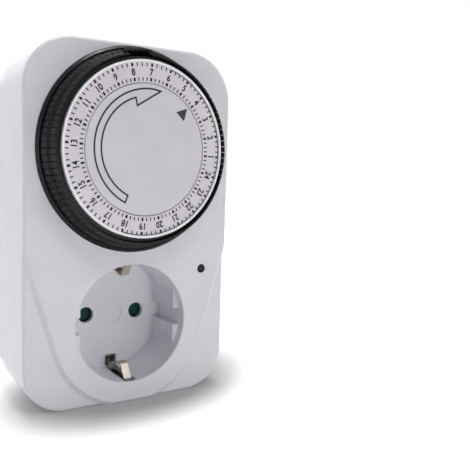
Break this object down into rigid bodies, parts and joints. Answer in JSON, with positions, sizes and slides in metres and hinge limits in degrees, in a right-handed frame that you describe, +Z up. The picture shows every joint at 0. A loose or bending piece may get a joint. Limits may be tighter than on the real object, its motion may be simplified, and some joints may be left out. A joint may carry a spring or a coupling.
{
  "type": "plug in timer switch",
  "caption": "Plug-in mains timer: upright housing with a ring of flip tappets round a 24-hour dial, an earthed socket recess in front and a plug at the back.",
  "frame": {"origin": "middle of the flat bottom of the front shell, half way through the shell's depth", "axes": "+X to the right seen from the dial side, +Y from the dial towards the plug, +Z up"},
  "size_m": [0.0734, 0.0842, 0.1155],
  "materials": {
    "housing": "white moulded plastic with a fine satin surface",
    "scale_white": "smooth white plastic, printed with a black scale",
    "centre_grey": "smooth pale grey plastic, printed in black",
    "dial_black": "black moulded plastic, satin",
    "shutter_green": "dark green moulded plastic",
    "inner_plastic": "natural grey moulded plastic",
    "gear_plastic": "ivory acetal",
    "slider_grey": "grey moulded plastic",
    "contact_brass": "bare stamped brass",
    "nickel_strip": "nickel-plated stamped strip",
    "plug_nickel": "bright nickel plate on brass",
    "screw_steel": "zinc-plated steel",
    "spring_steel": "bright spring wire",
    "motor_can": "bright drawn metal can",
    "lens_dark": "dark tinted translucent plastic",
    "lamp_glass": "clear glass bulb"
  },
  "bodies": {
    "housing": {"front_shell": "housing", "rear_cover": "housing", "cover_screws": "screw_steel", "shutter_spring": "spring_steel", "contact_carrier": "inner_plastic", "neutral_contact": "contact_brass", "live_contact": "contact_brass", "earth_bracket": "nickel_strip", "plug_earth_strip": "nickel_strip", "earth_rivet": "contact_brass", "plug_pin_neutral": "plug_nickel", "plug_pin_live": "plug_nickel", "neutral_link": "contact_brass", "live_link": "contact_brass", "switched_link": "contact_brass", "centre_disc": "centre_grey", "dial_spindle": "inner_plastic", "idler_axle": "screw_steel", "motor": "motor_can", "chassis": "inner_plastic", "chassis_screws": "screw_steel", "lever_spring": "spring_steel", "fixed_contacts": "contact_brass", "indicator_lens": "lens_dark", "indicator_lamp": "lamp_glass"},
    "dial": {"dial_drum": "dial_black", "scale_ring": "scale_white", "dial_gear": "gear_plastic"},
    "idler": {"idler_gear": "gear_plastic"},
    "motor_output": {"motor_pinion": "gear_plastic"},
    "lever": {"switch_lever": "gear_plastic", "bridge_holder": "inner_plastic", "contact_bridge": "contact_brass"},
    "shutter": {"child_shutter": "shutter_green"},
    "slider": {"mode_slider": "slider_grey"},
    "tappets_01": {"tappets_hour_01": "dial_black"},
    "tappets_02": {"tappets_hour_02": "dial_black"},
    "tappets_03": {"tappets_hour_03": "dial_black"},
    "tappets_04": {"tappets_hour_04": "dial_black"},
    "tappets_05": {"tappets_hour_05": "dial_black"},
    "tappets_06": {"tappets_hour_06": "dial_black"},
    "tappets_07": {"tappets_hour_07": "dial_black"},
    "tappets_08": {"tappets_hour_08": "dial_black"},
    "tappets_09": {"tappets_hour_09": "dial_black"},
    "tappets_10": {"tappets_hour_10": "dial_black"},
    "tappets_11": {"tappets_hour_11": "dial_black"},
    "tappets_12": {"tappets_hour_12": "dial_black"},
    "tappets_13": {"tappets_hour_13": "dial_black"},
    "tappets_14": {"tappets_hour_14": "dial_black"},
    "tappets_15": {"tappets_hour_15": "dial_black"},
    "tappets_16": {"tappets_hour_16": "dial_black"},
    "tappets_17": {"tappets_hour_17": "dial_black"},
    "tappets_18": {"tappets_hour_18": "dial_black"},
    "tappets_19": {"tappets_hour_19": "dial_black"},
    "tappets_20": {"tappets_hour_20": "dial_black"},
    "tappets_21": {"tappets_hour_21": "dial_black"},
    "tappets_22": {"tappets_hour_22": "dial_black"},
    "tappets_23": {"tappets_hour_23": "dial_black"},
    "tappets_24": {"tappets_hour_24": "dial_black"}
  },
  "joints": [
    {"name": "dial_turn", "type": "hinge", "parent": "housing", "child": "dial", "pos_m": [0, -0.0135, 0.0823], "axis": [0, 1, 0], "continuous": true},
    {"name": "idler_turn", "type": "hinge", "parent": "housing", "child": "idler", "pos_m": [-0.01529, -0.0135, 0.06047], "axis": [0, 1, 0], "continuous": true},
    {"name": "pinion_turn", "type": "hinge", "parent": "housing", "child": "motor_output", "pos_m": [0.00269, -0.0135, 0.06364], "axis": [0, 1, 0], "continuous": true},
    {"name": "tappets_01_tilt", "type": "hinge", "parent": "dial", "child": "tappets_01", "pos_m": [0.03011, -0.0141, 0.08467], "axis": [-0.0785, 0, 0.9969], "range_deg": [0, 9]},
    {"name": "tappets_02_tilt", "type": "hinge", "parent": "dial", "child": "tappets_02", "pos_m": [0.02847, -0.0141, 0.09238], "axis": [-0.3338, 0, 0.9426], "range_deg": [0, 9]},
    {"name": "tappets_03_tilt", "type": "hinge", "parent": "dial", "child": "tappets_03", "pos_m": [0.02489, -0.0141, 0.09941], "axis": [-0.5664, 0, 0.8241], "range_deg": [0, 9]},
    {"name": "tappets_04_tilt", "type": "hinge", "parent": "dial", "child": "tappets_04", "pos_m": [0.01961, -0.0141, 0.10526], "axis": [-0.7604, 0, 0.6494], "range_deg": [0, 9]},
    {"name": "tappets_05_tilt", "type": "hinge", "parent": "dial", "child": "tappets_05", "pos_m": [0.013, -0.0141, 0.10956], "axis": [-0.9026, 0, 0.4305], "range_deg": [0, 9]},
    {"name": "tappets_06_tilt", "type": "hinge", "parent": "dial", "child": "tappets_06", "pos_m": [0.0055, -0.0141, 0.11199], "axis": [-0.9833, 0, 0.1822], "range_deg": [0, 9]},
    {"name": "tappets_07_tilt", "type": "hinge", "parent": "dial", "child": "tappets_07", "pos_m": [-0.00237, -0.0141, 0.11241], "axis": [-0.9969, 0, -0.0785], "range_deg": [-9, 0]},
    {"name": "tappets_08_tilt", "type": "hinge", "parent": "dial", "child": "tappets_08", "pos_m": [-0.01008, -0.0141, 0.11077], "axis": [-0.9426, 0, -0.3338], "range_deg": [0, 9]},
    {"name": "tappets_09_tilt", "type": "hinge", "parent": "dial", "child": "tappets_09", "pos_m": [-0.01711, -0.0141, 0.10719], "axis": [-0.8241, 0, -0.5664], "range_deg": [0, 9]},
    {"name": "tappets_10_tilt", "type": "hinge", "parent": "dial", "child": "tappets_10", "pos_m": [-0.02296, -0.0141, 0.10191], "axis": [-0.6494, 0, -0.7604], "range_deg": [0, 9]},
    {"name": "tappets_11_tilt", "type": "hinge", "parent": "dial", "child": "tappets_11", "pos_m": [-0.02726, -0.0141, 0.0953], "axis": [-0.4305, 0, -0.9026], "range_deg": [0, 9]},
    {"name": "tappets_12_tilt", "type": "hinge", "parent": "dial", "child": "tappets_12", "pos_m": [-0.02969, -0.0141, 0.0878], "axis": [-0.1822, 0, -0.9833], "range_deg": [0, 9]},
    {"name": "tappets_13_tilt", "type": "hinge", "parent": "dial", "child": "tappets_13", "pos_m": [-0.03011, -0.0141, 0.07993], "axis": [0.0785, 0, -0.9969], "range_deg": [0, 9]},
    {"name": "tappets_14_tilt", "type": "hinge", "parent": "dial", "child": "tappets_14", "pos_m": [-0.02847, -0.0141, 0.07222], "axis": [0.3338, 0, -0.9426], "range_deg": [0, 9]},
    {"name": "tappets_15_tilt", "type": "hinge", "parent": "dial", "child": "tappets_15", "pos_m": [-0.02489, -0.0141, 0.06519], "axis": [0.5664, 0, -0.8241], "range_deg": [0, 9]},
    {"name": "tappets_16_tilt", "type": "hinge", "parent": "dial", "child": "tappets_16", "pos_m": [-0.01961, -0.0141, 0.05934], "axis": [0.7604, 0, -0.6494], "range_deg": [0, 9]},
    {"name": "tappets_17_tilt", "type": "hinge", "parent": "dial", "child": "tappets_17", "pos_m": [-0.013, -0.0141, 0.05504], "axis": [0.9026, 0, -0.4305], "range_deg": [0, 9]},
    {"name": "tappets_18_tilt", "type": "hinge", "parent": "dial", "child": "tappets_18", "pos_m": [-0.0055, -0.0141, 0.05261], "axis": [0.9833, 0, -0.1822], "range_deg": [0, 9]},
    {"name": "tappets_19_tilt", "type": "hinge", "parent": "dial", "child": "tappets_19", "pos_m": [0.00237, -0.0141, 0.05219], "axis": [0.9969, 0, 0.0785], "range_deg": [0, 9]},
    {"name": "tappets_20_tilt", "type": "hinge", "parent": "dial", "child": "tappets_20", "pos_m": [0.01008, -0.0141, 0.05383], "axis": [0.9426, 0, 0.3338], "range_deg": [0, 9]},
    {"name": "tappets_21_tilt", "type": "hinge", "parent": "dial", "child": "tappets_21", "pos_m": [0.01711, -0.0141, 0.05741], "axis": [0.8241, 0, 0.5664], "range_deg": [0, 9]},
    {"name": "tappets_22_tilt", "type": "hinge", "parent": "dial", "child": "tappets_22", "pos_m": [0.02296, -0.0141, 0.06269], "axis": [0.6494, 0, 0.7604], "range_deg": [0, 9]},
    {"name": "tappets_23_tilt", "type": "hinge", "parent": "dial", "child": "tappets_23", "pos_m": [0.02726, -0.0141, 0.0693], "axis": [0.4305, 0, 0.9026], "range_deg": [0, 9]},
    {"name": "tappets_24_tilt", "type": "hinge", "parent": "dial", "child": "tappets_24", "pos_m": [0.02969, -0.0141, 0.0768], "axis": [0.1822, 0, 0.9833], "range_deg": [0, 9]},
    {"name": "lever_swing", "type": "hinge", "parent": "housing", "child": "lever", "pos_m": [0.0245, -0.0135, 0.076], "axis": [0, -1, 0], "range_deg": [0, 4], "stiffness_Nm_per_rad": 0.02, "springref_deg": -8.59},
    {"name": "shutter_turn", "type": "hinge", "parent": "housing", "child": "shutter", "pos_m": [0, -0.0135, 0.0262], "axis": [0, 1, 0], "range_deg": [0, 45], "stiffness_Nm_per_rad": 0.004, "springref_deg": -20.05},
    {"name": "mode_slide", "type": "slide", "parent": "housing", "child": "slider", "axis": [0, 0, 1], "range_m": [0, 0.004]}
  ],
  "couplings": [
    {"joint": "idler_turn", "follows": "dial_turn", "ratio": -5.3333},
    {"joint": "pinion_turn", "follows": "dial_turn", "ratio": 17.778}
  ]
}
